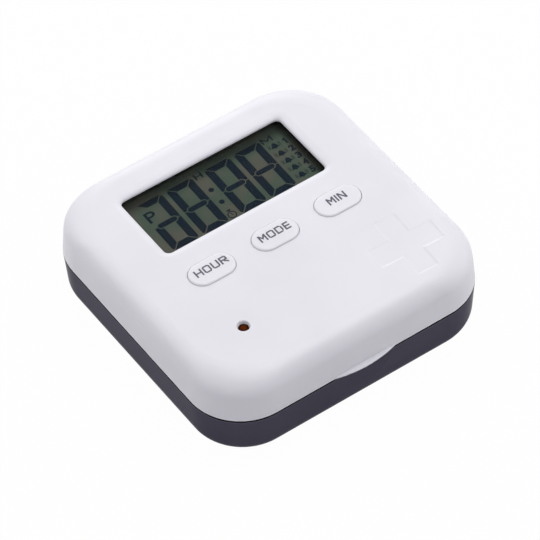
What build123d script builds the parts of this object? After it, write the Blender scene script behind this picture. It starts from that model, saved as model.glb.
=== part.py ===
"""Pocket pill dispenser: a smoke-grey pill base under a hinged white lid that holds an alarm clock.

Frame: the origin is the centre of the footprint on the resting surface. +X is to the right for
someone reading the display, +Y points to the hinge at the back, +Z is up. All sizes are in mm.
"""
from build123d import *
import os
from math import cos, radians, sin, sqrt, tan

# ---------------------------------------------------------------- driving dimensions
# Case
case_width = 85.0
case_depth = 85.0
case_height = 26.4
lid_height = 12.2            # from the parting plane up
parting_gap = 0.6
corner_radius = 15.5
wall = 1.8
lid_draft = 3.5              # degrees
lid_edge_radius = 5.4
lid_corner_growth = 0.3      # corner radius gained for each mm the lid's outline steps in
base_draft = 3.3             # degrees
base_edge_radius = 5.05
base_corner_growth = -0.7    # corner radius lost for each mm the base's outline steps in
base_edge_break = 0.05       # on the outer edge under the lid
edge_steps = 8               # sections round each long edge

# Gaps shared by several pieces
fit_gap = 0.15               # round a piece that drops into a seat
cut_over = 0.02              # how far a cut runs past the face it opens

# Pill compartments: three in the front row, two in the back row
floor_thickness = 1.6
pocket_inset = 2.3           # from the parting outline to the pockets' side walls
divider_thickness = 1.2
divider_clearance = 0.6      # from the dividers' tops to the cover above them
front_cell_width = 30.0
pocket_corner_radius = 3.2
pocket_floor_radius = 2.5

# Thumb lip on the lid and the finger scoop under it
lip_width = 19.2
lip_reach = 1.45
lip_thickness = 0.55
lip_edge_radius = 0.15
scoop_width = 17.5
scoop_depth = 0.8
scoop_drop = 2.6             # from the parting plane down to its deepest point

# Hinge
knuckle_radius = 1.9
knuckle_length = 8.0
knuckle_gap = 0.2
hinge_offset = 0.9           # axis outside the back wall
hinge_clearance = 0.3
hinge_pin_radius = 0.6
pin_running_gap = 0.05
pin_push_gap = 0.02
pin_end_inset = 0.4
pin_chamfer = 0.15

# Display
window_width = 50.1
window_depth = 22.15
window_corner_radius = 1.6
window_x = 0.22
window_setback = 22.83       # from the back wall to the window's middle
rim_width = 2.4
rim_drop = 1.2
rim_land = 0.3
rim_steps = 5
rim_last_angle = 80.0        # degrees; past it the rim runs out flat
lens_margin = 1.7
lens_thickness = 1.0
lens_chamfer = 0.15
lens_lcd_gap = 0.1
lcd_margin = 1.35
lcd_thickness = 1.5
reflector_thickness = 0.3
frame_wall = 1.8
frame_ledge = 1.8
frame_corner_radius = 0.9
zebra_width = 1.8

# Buttons: hour, mode and minute
button_length = 13.3
button_width = 7.7
button_pitch = 19.65
button_row_x = 0.7
button_row_setback = 22.57   # from the window's middle to the row's
button_rise = 0.45
button_edge_radius = 0.6
button_gap = 0.12
button_flange = 0.9
button_flange_thickness = 0.85
button_slack = 0.05          # from the flange up to the lid's ceiling
button_travel = 0.4
switch_size = 6.0
switch_height = 2.0
switch_corner_radius = 0.5
plunger_radius = 1.6
plunger_rise = 1.0           # above the switch's case
plunger_depth = 0.7
plunger_gap = 0.06
plunger_chamfer = 0.2

# Alarm light
led_x = -23.12
led_y = -22.93
led_radius = 1.33
led_flange_radius = 1.9
led_flange_height = 0.8
led_depth = 0.57             # top of the dome below the lid's top
led_dome_height = 0.33
led_hole_radius = 1.42
led_mouth_radius = 1.78      # the hole's mouth is a cone
led_mouth_depth = 0.9
led_lead_pitch = 2.54
led_lead_width = 0.5

# Sunken plus on the lid
plus_x = 25.75
plus_y = -25.05
plus_turn = -2.7             # degrees
plus_width = 19.6
plus_depth = 21.1
plus_upright_width = 6.8
plus_bar_depth = 7.3
plus_sink = 0.16
plus_wall_lean = 72.0        # degrees

# Circuit board
board_thickness = 1.0
board_corner = 3.0
board_edge = 0.7             # past the display's frame at the back
board_side_edge = 1.0        # past the posts at the sides
board_boss_gap = 1.0         # from the case bosses
board_post_radius = 2.0
board_post_gap = 0.7         # from the display's frame to the posts
board_post_ys = (6.0, -24.0)
board_screw_radius = 0.75
board_screw_head_radius = 1.7
board_screw_head_height = 0.8
board_screw_length = 3.4
board_driver_length = 2.2    # cross recess in each head
chip_x, chip_y = 13.0, 20.0
chip_radius = 5.0
chip_height = 0.9
crystal_x, crystal_y = 2.0, 19.0
crystal_radius = 1.0
crystal_length = 6.0
crystal_edge_radius = 0.3

# Inner cover, its screws and its catches
cover_thickness = 1.5
cover_recess = 0.3           # from the lid's lower edge up to the cover
cover_gap = 0.15
boss_place = 32.0            # from the middle to each corner boss, along X and along Y
boss_radius = 2.6
boss_root = 0.5              # bosses and posts run this far into the lid's top wall
screw_radius = 0.95
screw_gap = 0.05
screw_length = 6.0
screw_head_radius = 1.8
screw_head_height = 0.7
screw_head_gap = 0.2
screw_driver_length = 2.4    # cross recess in each head
driver_slot_width = 0.5
driver_slot_depth = 0.35
catch_x = 9.5
catch_width = 6.0
catch_thickness = 1.2
catch_gap = 0.3
catch_length = 5.4
catch_bead_radius = 0.5
catch_bead_drop = 4.55       # from the parting plane down
catch_groove_gap = 0.25

# Coin cell, its holder, contacts and door
cell_x = 14.0
cell_y = -14.0
cell_radius = 10.0
cell_height = 3.2
cell_gap = 0.15
cell_step = 0.2
cell_lid_radius = 8.8
cell_door_gap = 0.05
holder_wall = 1.15
contact_gap = 0.05           # from the cell's side
contact_slot_gap = 0.3
contact_thickness = 0.2
contact_width = 3.0
contact_foot = 3.0
contact_arm = 6.0
door_gap = 0.1
door_thickness = 1.05
door_hook_root = 0.6         # wall of the post under each claw
door_hook_reach = 1.3
door_hook_thickness = 0.6
door_hook_half_angle = 14.0  # degrees
door_turn = 50.0             # degrees
door_notch_slack = 2.0       # degrees each side of a hook
door_stop_angle = 6.0        # degrees
door_stop_slack = 1.0        # degrees
door_stop_gap = 0.3
coin_slot_length = 15.0
coin_slot_width = 1.7
coin_slot_depth = 0.5

# Buzzer
buzzer_x = -18.0
buzzer_y = 14.0
piezo_radius = 10.0
piezo_thickness = 0.25
ceramic_radius = 7.0
buzzer_air = 0.8
buzzer_wall = 0.9
buzzer_ledge = 1.0
sound_hole_radius = 0.75
sound_hole_ring = 3.0
sound_hole_count = 6         # round the middle one
wire_radius = 0.25
wire_pitch = 3.0
wire_reach = 5.0
wire_inset = 2.0             # start on the ceramic, in from its edge
wire_outset = 1.0            # start on the brass, out from the ceramic's edge

# ---------------------------------------------------------------- places worked out from them
parting_height = case_height - lid_height
base_top = parting_height - parting_gap / 2
lid_bottom = parting_height + parting_gap / 2
lid_rise = case_height - lid_bottom
ceiling = case_height - wall
scoop_height = parting_height - scoop_drop
catch_bead_height = parting_height - catch_bead_drop

hinge_y = case_depth / 2 + hinge_offset
hinge_z = parting_height
knuckle_pitch = knuckle_length + knuckle_gap
base_knuckles = [-2 * knuckle_pitch, 0, 2 * knuckle_pitch]
lid_knuckles = [-knuckle_pitch, knuckle_pitch]

window_y = case_depth / 2 - window_setback
lens_top = case_height - rim_drop - rim_land
lens_bottom = lens_top - lens_thickness
lcd_top = lens_bottom - lens_lcd_gap
lcd_bottom = lcd_top - lcd_thickness
reflector_bottom = lcd_bottom - reflector_thickness
lcd_width = window_width + 2 * lcd_margin
lcd_depth = window_depth + 2 * lcd_margin
ledge_width = lcd_width - 2 * frame_ledge
ledge_depth = lcd_depth - 2 * frame_ledge
ledge_back = window_y + ledge_depth / 2
frame_half_width = lcd_width / 2 + frame_wall
frame_half_depth = lcd_depth / 2 + frame_wall

flange_top = ceiling - button_slack
flange_bottom = flange_top - button_flange_thickness
switch_top = flange_bottom - plunger_rise
button_row_y = window_y - button_row_setback
button_places = {
    "hour": button_row_x - button_pitch,
    "mode": button_row_x,
    "min": button_row_x + button_pitch,
}

board_top = switch_top - switch_height
board_bottom = board_top - board_thickness
board_post_x = abs(window_x) + frame_half_width + board_post_gap + board_post_radius
board_posts = [(x, y) for x in (-board_post_x, board_post_x) for y in board_post_ys]
board_width = 2 * (board_post_x + board_post_radius + board_side_edge)
boss_clear = boss_place - boss_radius - board_boss_gap
board_front = -boss_clear
board_back = window_y + frame_half_depth + board_edge
board_depth = board_back - board_front
board_y = (board_back + board_front) / 2

cover_bottom = lid_bottom + cover_recess
cover_top = cover_bottom + cover_thickness
cover_inset = wall + cover_gap + (cover_top - lid_bottom) * tan(radians(lid_draft))
divider_top = cover_bottom - divider_clearance

door_bottom = cover_bottom
door_top = door_bottom + door_thickness
cell_bottom = door_top + cell_door_gap
cell_top = cell_bottom + cell_height
holder_bottom = cover_top + door_gap
holder_inner_radius = cell_radius + cell_gap
holder_outer_radius = holder_inner_radius + holder_wall
door_radius = holder_outer_radius + door_gap + door_hook_root
hook_outer_radius = door_radius + door_hook_reach

case_bosses = [(x, y) for x in (-boss_place, boss_place) for y in (-boss_place, boss_place)]


def edge_sections(rise, radius, draft):
    """Height and inset of each outline up a drafted wall and round its edge to the flat face."""
    lean = radians(draft)
    tangent_height = rise - radius + radius * sin(lean)
    tangent_inset = tangent_height * tan(lean)
    sections = [(0.0, 0.0)]
    for step in range(edge_steps + 1):
        angle = lean + (radians(90) - lean) * step / edge_steps
        height = rise - radius + radius * sin(angle)
        inset = tangent_inset + radius * (cos(lean) - cos(angle))
        sections.append((height, inset))
    return sections


def case_outline(inset, radius):
    """The case's rounded square, stepped in on all sides."""
    RectangleRounded(case_width - 2 * inset, case_depth - 2 * inset, radius)


def case_half(start, side, rise, edge_radius, draft, step_in, growth, edge_break=0):
    """A solid half of the case, from the parting line up (side 1) or down (side -1)."""
    sections = edge_sections(rise, edge_radius, draft)
    stretches = [sections[:2], sections[1:]]
    if edge_break:
        below_break = (edge_break, edge_break * tan(radians(draft)))
        stretches = [[(0, edge_break), below_break], [below_break, sections[1]], sections[1:]]
    with BuildPart() as half:
        for stretch in stretches:
            for height, inset in stretch:
                with BuildSketch(Plane.XY.offset(start + side * height)):
                    case_outline(inset + step_in, corner_radius - step_in + growth * inset)
            loft()
    return half.part


def window_outline(margin):
    """The display window's outline, grown on all sides."""
    with Locations((window_x, window_y)):
        RectangleRounded(
            window_width + 2 * margin, window_depth + 2 * margin, window_corner_radius + margin
        )


def polar_point(radius, angle):
    """The point at a radius and an angle in degrees."""
    return (radius * cos(radians(angle)), radius * sin(radians(angle)))


def ring_sector(inner, outer, middle, half_angle):
    """A piece of a ring about the origin, with its middle at an angle in degrees."""
    start, end = middle - half_angle, middle + half_angle
    with BuildSketch() as sector:
        with BuildLine():
            CenterArc((0, 0), outer, start, 2 * half_angle)
            CenterArc((0, 0), inner, start, 2 * half_angle)
            Line(polar_point(inner, start), polar_point(outer, start))
            Line(polar_point(inner, end), polar_point(outer, end))
        make_face()
    return sector.sketch


def knuckle_profile(side):
    """Barrel and gusset of one hinge knuckle; side is -1 below the parting line, 1 above it."""
    root_y = case_depth / 2 - wall / 2
    face_z = hinge_z + side * parting_gap / 2
    touch = knuckle_radius / sqrt(2)
    touch_y, touch_z = hinge_y + touch, hinge_z + side * touch
    with Locations((hinge_y, hinge_z)):
        Circle(knuckle_radius)
    Polygon(
        (root_y, face_z),
        (hinge_y, face_z),
        (touch_y, touch_z),
        (root_y, touch_z + side * (touch_y - root_y)),
        align=None,
    )


def save(part, name):
    """Label a finished piece and write it."""
    part.label = name
    export_step(part, f"parts/{name}.step")


os.makedirs("parts", exist_ok=True)

# ---------------------------------------------------------------- base
# The pockets' plan: the inside of the case cut by the dividers
with BuildPart() as pockets:
    with BuildSketch(Plane.XY.offset(floor_thickness)):
        case_outline(pocket_inset, corner_radius - pocket_inset)
        Rectangle(case_width, divider_thickness, mode=Mode.SUBTRACT)
        with Locations((0, case_depth / 4)):
            Rectangle(divider_thickness, case_depth / 2, mode=Mode.SUBTRACT)
        front_divider_x = (front_cell_width + divider_thickness) / 2
        with Locations((-front_divider_x, -case_depth / 4), (front_divider_x, -case_depth / 4)):
            Rectangle(divider_thickness, case_depth / 2, mode=Mode.SUBTRACT)
    extrude(amount=base_top - floor_thickness)
    # The dividers' corners, but not the round corners of the case
    divider_edges = [
        edge
        for edge in pockets.edges().filter_by(Axis.Z)
        if abs(edge.center().Y) < case_depth / 4 or abs(edge.center().X) < case_width / 4
    ]
    fillet(divider_edges, pocket_corner_radius)
    fillet(pockets.faces().group_by(Axis.Z)[0].edges(), pocket_floor_radius)

base_form = case_half(
    base_top, -1, base_top, base_edge_radius, base_draft, 0, base_corner_growth, base_edge_break
)

with BuildPart() as base_shell:
    add(base_form)
    with BuildSketch(Plane.YZ):
        knuckle_profile(-1)
    barrel = extrude(amount=knuckle_length / 2, both=True, mode=Mode.PRIVATE)
    with Locations([(x, 0, 0) for x in base_knuckles]):
        add(barrel)
    add(pockets.part, mode=Mode.SUBTRACT)
    # The dividers and the middle of the cover keep a gap
    with BuildSketch(Plane.XY.offset(divider_top)):
        case_outline(pocket_inset, corner_radius - pocket_inset)
    extrude(amount=wall, mode=Mode.SUBTRACT)
    # Room for the lid's knuckles
    for x in lid_knuckles:
        with BuildSketch(Plane.YZ.offset(x)):
            with Locations((hinge_y, hinge_z)):
                Circle(knuckle_radius + hinge_clearance)
        extrude(amount=knuckle_length / 2 + knuckle_gap, both=True, mode=Mode.SUBTRACT)
    # Bore for the pin
    with BuildSketch(Plane.YZ):
        with Locations((hinge_y, hinge_z)):
            Circle(hinge_pin_radius + pin_push_gap)
    extrude(amount=case_width / 2, both=True, mode=Mode.SUBTRACT)
    # Finger scoop under the lip
    scoop_radius = (scoop_width**2 / 4 + scoop_depth**2) / (2 * scoop_depth)
    with Locations((0, -case_depth / 2 - scoop_radius + scoop_depth, scoop_height)):
        Sphere(scoop_radius, mode=Mode.SUBTRACT)
    # Grooves for the lid's catches
    for x in (-catch_x, catch_x):
        with BuildSketch(Plane.YZ.offset(x)):
            with Locations((-case_depth / 2 + pocket_inset, catch_bead_height)):
                Circle(catch_bead_radius + catch_groove_gap)
        extrude(amount=catch_width / 2 + catch_groove_gap, both=True, mode=Mode.SUBTRACT)
save(base_shell.part, "base_shell")

with BuildPart() as hinge_pin:
    with BuildSketch(Plane.YZ):
        with Locations((hinge_y, hinge_z)):
            Circle(hinge_pin_radius)
    extrude(amount=2 * knuckle_pitch + knuckle_length / 2 - pin_end_inset, both=True)
    chamfer(hinge_pin.edges().filter_by(GeomType.CIRCLE), pin_chamfer)
save(hinge_pin.part, "hinge_pin")

# ---------------------------------------------------------------- lid shell
with BuildPart() as thumb_lip:
    front = -case_depth / 2
    with BuildSketch(Plane.XY.offset(lid_bottom)):
        with BuildLine():
            ThreePointArc((-lip_width / 2, front), (0, front - lip_reach), (lip_width / 2, front))
            Polyline(
                (lip_width / 2, front),
                (lip_width / 2, front + wall / 2),
                (-lip_width / 2, front + wall / 2),
                (-lip_width / 2, front),
            )
        make_face()
    extrude(amount=lip_thickness)
    fillet(thumb_lip.edges().filter_by(GeomType.CIRCLE), lip_edge_radius)

lid_form = case_half(
    lid_bottom, 1, lid_rise, lid_edge_radius, lid_draft, 0, lid_corner_growth
)
lid_hollow = case_half(
    lid_bottom, 1, lid_rise - wall, lid_edge_radius - wall, lid_draft, wall, lid_corner_growth
)

with BuildPart() as lid_shell:
    add(lid_form)
    add(lid_hollow, mode=Mode.SUBTRACT)
    add(thumb_lip.part)
    # Hinge knuckles, with room for the base's
    with BuildSketch(Plane.YZ):
        knuckle_profile(1)
    lid_barrel = extrude(amount=knuckle_length / 2, both=True, mode=Mode.PRIVATE)
    with Locations([(x, 0, 0) for x in lid_knuckles]):
        add(lid_barrel)
    for x in base_knuckles:
        with BuildSketch(Plane.YZ.offset(x)):
            with Locations((hinge_y, hinge_z)):
                Circle(knuckle_radius + hinge_clearance)
        extrude(amount=knuckle_length / 2 + knuckle_gap, both=True, mode=Mode.SUBTRACT)
    with BuildSketch(Plane.YZ):
        with Locations((hinge_y, hinge_z)):
            Circle(hinge_pin_radius + pin_running_gap)
    extrude(amount=case_width / 2, both=True, mode=Mode.SUBTRACT)
    # Case bosses and circuit board posts, with pilot holes for their screws
    with BuildSketch(Plane.XY.offset(cover_top)):
        with Locations(case_bosses):
            Circle(boss_radius)
    extrude(amount=ceiling + boss_root - cover_top)
    with BuildSketch(Plane.XY.offset(cover_top)):
        with Locations(case_bosses):
            Circle(screw_radius + screw_gap)
    extrude(amount=screw_length + screw_gap, mode=Mode.SUBTRACT)
    with BuildSketch(Plane.XY.offset(board_top)):
        with Locations(board_posts):
            Circle(board_post_radius)
    extrude(amount=ceiling + boss_root - board_top)
    with BuildSketch(Plane.XY.offset(board_top)):
        with Locations(board_posts):
            Circle(board_screw_radius + screw_gap)
    extrude(amount=board_screw_length - board_thickness + screw_gap, mode=Mode.SUBTRACT)
    # Window: a rounded rim, a land and the lens's seat
    with BuildSketch(Plane.XY.offset(ceiling - wall / 2)):
        window_outline(lens_margin + fit_gap)
    extrude(amount=lens_top - ceiling + wall / 2, mode=Mode.SUBTRACT)
    with BuildSketch(Plane.XY.offset(lens_top - rim_land)):
        window_outline(0)
    extrude(amount=2 * rim_land, mode=Mode.SUBTRACT)
    for step in range(rim_steps + 1):
        angle = radians(rim_last_angle) * step / rim_steps
        with BuildSketch(Plane.XY.offset(lens_top + rim_land + rim_drop * sin(angle))):
            window_outline(rim_width * (1 - cos(angle)))
    with BuildSketch(Plane.XY.offset(case_height + cut_over)):
        window_outline(rim_width)
    loft(mode=Mode.SUBTRACT)
    # Button holes
    with BuildSketch(Plane.XY.offset(case_height)):
        with Locations([(x, button_row_y) for x in button_places.values()]):
            SlotOverall(button_length + 2 * button_gap, button_width + 2 * button_gap)
    extrude(amount=-2 * wall, mode=Mode.SUBTRACT)
    # Hole for the alarm light
    with BuildSketch(Plane.XY.offset(case_height)):
        with Locations((led_x, led_y)):
            Circle(led_hole_radius)
    extrude(amount=-2 * wall, mode=Mode.SUBTRACT)
    with Locations((led_x, led_y, case_height - led_mouth_depth)):
        Cone(
            led_hole_radius,
            led_mouth_radius,
            led_mouth_depth,
            align=(Align.CENTER, Align.CENTER, Align.MIN),
            mode=Mode.SUBTRACT,
        )
    # Sunken plus
    with BuildSketch(Plane.XY.offset(case_height + cut_over)):
        with Locations((plus_x, plus_y)):
            Rectangle(plus_width, plus_bar_depth, rotation=plus_turn)
            Rectangle(plus_upright_width, plus_depth, rotation=plus_turn)
    extrude(amount=-(plus_sink + cut_over), taper=plus_wall_lean, mode=Mode.SUBTRACT)
save(lid_shell.part, "lid_shell")

# ---------------------------------------------------------------- inner cover and its door
with BuildPart() as inner_cover:
    with BuildSketch(Plane.XY.offset(cover_bottom)):
        case_outline(cover_inset, corner_radius - cover_inset)
    extrude(amount=cover_thickness)
    # Screw holes, counterbored from below for the heads
    with BuildSketch(Plane.XY.offset(cover_bottom)):
        with Locations(case_bosses):
            Circle(screw_radius + screw_head_gap)
    extrude(amount=cover_thickness, mode=Mode.SUBTRACT)
    with BuildSketch(Plane.XY.offset(cover_bottom)):
        with Locations(case_bosses):
            Circle(screw_head_radius + screw_head_gap)
    extrude(amount=screw_head_height, mode=Mode.SUBTRACT)
    # Opening for the cell door, with a notch for each of its hooks
    notch_half_angle = door_hook_half_angle + door_notch_slack
    with BuildSketch(Plane.XY.offset(cover_bottom)):
        with Locations((cell_x, cell_y)):
            Circle(door_radius + door_gap)
            for middle in (door_turn, door_turn + 180):
                add(ring_sector(cell_radius, hook_outer_radius + door_gap, middle, notch_half_angle))
    extrude(amount=cover_thickness, mode=Mode.SUBTRACT)
    # Stops for the hooks, at both ends of the door's turn
    stop_radius = door_radius + door_stop_gap
    closed_stop = -(door_hook_half_angle + door_stop_slack + door_stop_angle / 2)
    open_stop = door_turn + notch_half_angle + door_stop_slack + door_stop_angle / 2
    with BuildSketch(Plane.XY.offset(cover_top)):
        with Locations((cell_x, cell_y)):
            for middle in (closed_stop, open_stop, closed_stop + 180, open_stop + 180):
                add(ring_sector(stop_radius, hook_outer_radius, middle, door_stop_angle / 2))
    extrude(amount=door_hook_thickness)
    # Buzzer seat: a ring with a ledge for the disc, and sound holes under it
    with BuildSketch(Plane.XY.offset(cover_top)):
        with Locations((buzzer_x, buzzer_y)):
            Circle(piezo_radius + fit_gap + buzzer_wall)
            Circle(piezo_radius - buzzer_ledge, mode=Mode.SUBTRACT)
    extrude(amount=buzzer_air + 2 * piezo_thickness)
    with BuildSketch(Plane.XY.offset(cover_top + buzzer_air)):
        with Locations((buzzer_x, buzzer_y)):
            Circle(piezo_radius + fit_gap)
    extrude(amount=wall, mode=Mode.SUBTRACT)
    with BuildSketch(Plane.XY.offset(cover_bottom)):
        with Locations((buzzer_x, buzzer_y)):
            Circle(sound_hole_radius)
            with PolarLocations(sound_hole_ring, sound_hole_count):
                Circle(sound_hole_radius)
    extrude(amount=cover_thickness, mode=Mode.SUBTRACT)
    # Catches that snap into the base's front wall
    catch_face = -case_depth / 2 + pocket_inset + catch_gap
    for x in (-catch_x, catch_x):
        with BuildSketch(Plane.YZ.offset(x)):
            with Locations((catch_face, cover_bottom + cover_thickness / 2)):
                Rectangle(
                    catch_thickness, catch_length + cover_thickness / 2, align=(Align.MIN, Align.MAX)
                )
            with Locations((catch_face, catch_bead_height)):
                Circle(catch_bead_radius)
        extrude(amount=catch_width / 2, both=True)
save(inner_cover.part, "inner_cover")

with BuildPart() as cell_door:
    with BuildSketch(Plane.XY.offset(door_bottom)):
        with Locations((cell_x, cell_y)):
            Circle(door_radius)
    extrude(amount=door_thickness)
    # Hooks: a short post through the opening and a claw over the cover
    hook_inner_radius = door_radius - door_hook_root
    with BuildSketch(Plane.XY.offset(door_top)):
        with Locations((cell_x, cell_y)):
            for middle in (0, 180):
                add(ring_sector(hook_inner_radius, door_radius, middle, door_hook_half_angle))
    extrude(amount=holder_bottom + door_hook_thickness - door_top)
    with BuildSketch(Plane.XY.offset(holder_bottom)):
        with Locations((cell_x, cell_y)):
            for middle in (0, 180):
                add(ring_sector(hook_inner_radius, hook_outer_radius, middle, door_hook_half_angle))
    extrude(amount=door_hook_thickness)
    # Slot for a coin
    with BuildSketch(Plane.XY.offset(door_bottom)):
        with Locations((cell_x, cell_y)):
            SlotOverall(coin_slot_length, coin_slot_width)
    extrude(amount=coin_slot_depth, mode=Mode.SUBTRACT)
save(cell_door.part, "cell_door")

with BuildPart() as case_screws:
    with BuildSketch(Plane.XY.offset(cover_bottom)):
        with Locations(case_bosses):
            Circle(screw_head_radius)
    extrude(amount=screw_head_height)
    with BuildSketch(Plane.XY.offset(cover_bottom + screw_head_height)):
        with Locations(case_bosses):
            Circle(screw_radius)
    extrude(amount=screw_length + cover_thickness - screw_head_height)
    with BuildSketch(Plane.XY.offset(cover_bottom)):
        with Locations(case_bosses):
            Rectangle(screw_driver_length, driver_slot_width)
            Rectangle(driver_slot_width, screw_driver_length)
    extrude(amount=driver_slot_depth, mode=Mode.SUBTRACT)
save(case_screws.part, "case_screws")

# ---------------------------------------------------------------- display
with BuildPart() as display_lens:
    with BuildSketch(Plane.XY.offset(lens_bottom)):
        window_outline(lens_margin)
    extrude(amount=lens_thickness)
    chamfer(display_lens.faces().sort_by(Axis.Z)[0].edges(), lens_chamfer)
save(display_lens.part, "display_lens")

with BuildPart() as lcd_panel:
    with BuildSketch(Plane.XY.offset(lcd_bottom)):
        with Locations((window_x, window_y)):
            Rectangle(lcd_width, lcd_depth)
    extrude(amount=lcd_thickness)
save(lcd_panel.part, "lcd_panel")

# The reflector stops short of the contact strip at the back
with BuildPart() as lcd_reflector:
    reflector_back = ledge_back - zebra_width - 2 * fit_gap
    reflector_front = window_y - lcd_depth / 2
    with BuildSketch(Plane.XY.offset(reflector_bottom)):
        with Locations((window_x, (reflector_back + reflector_front) / 2)):
            Rectangle(lcd_width, reflector_back - reflector_front)
    extrude(amount=reflector_thickness)
save(lcd_reflector.part, "lcd_reflector")

with BuildPart() as lcd_frame:
    with BuildSketch(Plane.XY.offset(board_top)):
        with Locations((window_x, window_y)):
            Rectangle(2 * frame_half_width, 2 * frame_half_depth)
            Rectangle(ledge_width, ledge_depth, mode=Mode.SUBTRACT)
    extrude(amount=lcd_top - board_top)
    with BuildSketch(Plane.XY.offset(reflector_bottom)):
        with Locations((window_x, window_y)):
            Rectangle(lcd_width + 2 * fit_gap, lcd_depth + 2 * fit_gap)
    extrude(amount=lcd_top - reflector_bottom, mode=Mode.SUBTRACT)
    side_edges = lcd_frame.faces().sort_by(Axis.X)[-1].edges().filter_by(Axis.Z)
    side_edges += lcd_frame.faces().sort_by(Axis.X)[0].edges().filter_by(Axis.Z)
    fillet(side_edges, frame_corner_radius)
save(lcd_frame.part, "lcd_frame")

with BuildPart() as zebra_strip:
    with BuildSketch(Plane.XY.offset(board_top)):
        with Locations((window_x, ledge_back - fit_gap - zebra_width / 2)):
            Rectangle(ledge_width - 2 * fit_gap, zebra_width)
    extrude(amount=lcd_bottom - board_top)
save(zebra_strip.part, "zebra_strip")

# ---------------------------------------------------------------- circuit board and what is on it
with BuildPart() as circuit_board:
    with BuildSketch(Plane.XY.offset(board_bottom)):
        with Locations((0, board_y)):
            RectangleRounded(board_width, board_depth, board_corner)
        # A notch at each back corner for the case boss there
        with Locations((-board_width / 2, board_back), (board_width / 2, board_back)):
            notch_width = 2 * (board_width / 2 - boss_clear)
            Rectangle(notch_width, 2 * (board_back - boss_clear), mode=Mode.SUBTRACT)
        with Locations(board_posts):
            Circle(board_screw_radius + screw_head_gap, mode=Mode.SUBTRACT)
        with Locations((led_x, led_y)):
            with GridLocations(led_lead_pitch, 1, 2, 1):
                Circle(led_lead_width, mode=Mode.SUBTRACT)
    extrude(amount=board_thickness)
save(circuit_board.part, "circuit_board")

with BuildPart() as board_screws:
    with BuildSketch(Plane.XY.offset(board_bottom - board_screw_head_height)):
        with Locations(board_posts):
            Circle(board_screw_head_radius)
    extrude(amount=board_screw_head_height)
    with BuildSketch(Plane.XY.offset(board_bottom)):
        with Locations(board_posts):
            Circle(board_screw_radius)
    extrude(amount=board_screw_length)
    with BuildSketch(Plane.XY.offset(board_bottom - board_screw_head_height)):
        with Locations(board_posts):
            Rectangle(board_driver_length, driver_slot_width)
            Rectangle(driver_slot_width, board_driver_length)
    extrude(amount=driver_slot_depth, mode=Mode.SUBTRACT)
save(board_screws.part, "board_screws")

# A low dome of resin over the clock chip
with BuildPart() as clock_chip:
    dome_radius = (chip_radius**2 + chip_height**2) / (2 * chip_height)
    with Locations((chip_x, chip_y, board_bottom - chip_height + dome_radius)):
        Sphere(dome_radius)
    split(bisect_by=Plane.XY.offset(board_bottom), keep=Keep.BOTTOM)
save(clock_chip.part, "clock_chip")

with BuildPart() as quartz_crystal:
    with BuildSketch(Plane.XZ.offset(-crystal_y)):
        with Locations((crystal_x, board_bottom - crystal_radius)):
            Circle(crystal_radius)
    extrude(amount=crystal_length / 2, both=True)
    fillet(quartz_crystal.faces().sort_by(Axis.Y)[-1].edges(), crystal_edge_radius)
save(quartz_crystal.part, "quartz_crystal")

for name, x in button_places.items():
    with BuildPart() as switch:
        with BuildSketch(Plane.XY.offset(board_top)):
            with Locations((x, button_row_y)):
                Rectangle(switch_size, switch_size)
        extrude(amount=switch_height)
        fillet(switch.edges().filter_by(Axis.Z), switch_corner_radius)
        with BuildSketch(Plane.XY.offset(switch_top)):
            with Locations((x, button_row_y)):
                Circle(plunger_radius + plunger_gap)
        extrude(amount=-(plunger_depth + button_travel + plunger_gap), mode=Mode.SUBTRACT)
    save(switch.part, f"{name}_switch")

    with BuildPart() as plunger:
        with BuildSketch(Plane.XY.offset(switch_top - plunger_depth)):
            with Locations((x, button_row_y)):
                Circle(plunger_radius)
        extrude(amount=plunger_depth + plunger_rise)
        chamfer(plunger.faces().sort_by(Axis.Z)[-1].edges(), plunger_chamfer)
    save(plunger.part, f"{name}_plunger")

    with BuildPart() as button:
        with BuildSketch(Plane.XY.offset(flange_bottom)):
            with Locations((x, button_row_y)):
                SlotOverall(button_length + 2 * button_flange, button_width + 2 * button_flange)
        extrude(amount=button_flange_thickness)
        with BuildSketch(Plane.XY.offset(flange_top)):
            with Locations((x, button_row_y)):
                SlotOverall(button_length, button_width)
        extrude(amount=case_height + button_rise - flange_top)
        fillet(button.faces().sort_by(Axis.Z)[-1].edges(), button_edge_radius)
    save(button.part, f"{name}_button")

# ---------------------------------------------------------------- alarm light
led_top = case_height - led_depth
with BuildPart() as alarm_led:
    with BuildSketch(Plane.XY.offset(board_top)):
        with Locations((led_x, led_y)):
            Circle(led_flange_radius)
    extrude(amount=led_flange_height)
    with BuildSketch(Plane.XY.offset(board_top + led_flange_height)):
        with Locations((led_x, led_y)):
            Circle(led_radius)
    extrude(amount=led_top - led_dome_height - board_top - led_flange_height)
    dome_radius = (led_radius**2 + led_dome_height**2) / (2 * led_dome_height)
    with Locations((led_x, led_y, led_top - dome_radius)):
        dome = Sphere(dome_radius, mode=Mode.PRIVATE)
    with BuildSketch(Plane.XY.offset(led_top - led_dome_height)):
        with Locations((led_x, led_y)):
            Circle(led_radius)
    post = extrude(amount=led_dome_height, mode=Mode.PRIVATE)
    add(post & dome)
save(alarm_led.part, "alarm_led")

with BuildPart() as led_leads:
    with BuildSketch(Plane.XY.offset(board_bottom - board_thickness)):
        with Locations((led_x, led_y)):
            with GridLocations(led_lead_pitch, 1, 2, 1):
                Rectangle(led_lead_width, led_lead_width)
    extrude(amount=2 * board_thickness)
save(led_leads.part, "led_leads")

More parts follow.
